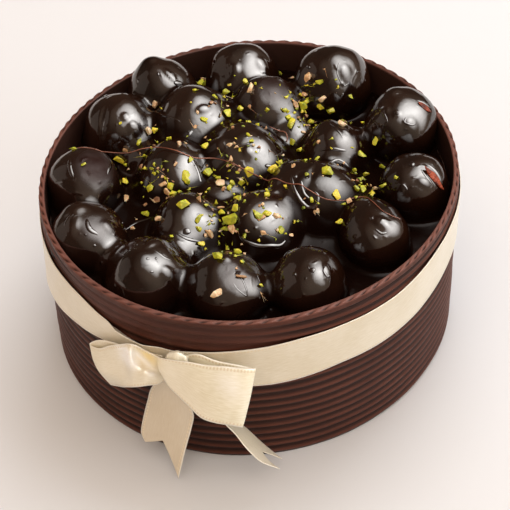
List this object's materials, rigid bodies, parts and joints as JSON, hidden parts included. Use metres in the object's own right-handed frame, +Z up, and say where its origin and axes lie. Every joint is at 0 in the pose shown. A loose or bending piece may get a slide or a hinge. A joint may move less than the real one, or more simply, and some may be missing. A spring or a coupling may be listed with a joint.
{
  "type": "profiterole cake",
  "caption": "Round cake topped with chocolate-glazed choux balls inside a tall ribbed chocolate collar, tied with a satin ribbon and bow",
  "frame": {"origin": "middle of the cake's flat underside, on the surface that it stands on", "axes": "+Z up, +X to the right and +Y away from a viewer who faces the bow's side"},
  "size_m": [0.2018, 0.223, 0.1063],
  "materials": {
    "cake": "dark chocolate cake and set glaze",
    "collar_chocolate": "satin dark chocolate with ribs",
    "glaze": "mirror-glossy dark chocolate glaze",
    "choux": "baked choux crust",
    "pistachio": "chopped green nut",
    "nut_skin": "chopped nut with pale skin",
    "chocolate_thread": "fine chocolate thread",
    "ribbon": "cream satin ribbon"
  },
  "bodies": {
    "root": {"cake_body": "cake", "chocolate_collar": "collar_chocolate", "profiterole_01": "glaze", "profiterole_02": "glaze", "profiterole_03": "glaze", "profiterole_04": "glaze", "profiterole_05": "glaze", "profiterole_06": "glaze", "profiterole_07": "glaze", "profiterole_08": "glaze", "profiterole_09": "glaze", "profiterole_10": "glaze", "profiterole_11": "glaze", "profiterole_12": "glaze", "profiterole_13": "glaze", "profiterole_14": "glaze", "profiterole_15": "glaze", "profiterole_16": "glaze", "profiterole_17": "glaze", "profiterole_18": "glaze", "profiterole_19": "glaze", "profiterole_20": "glaze", "ribbon_band": "ribbon", "bow_loop_left": "ribbon", "bow_loop_right": "ribbon", "bow_tail_left": "ribbon", "bow_tail_right": "ribbon", "bow_knot": "ribbon"}
  },
  "joints": []
}
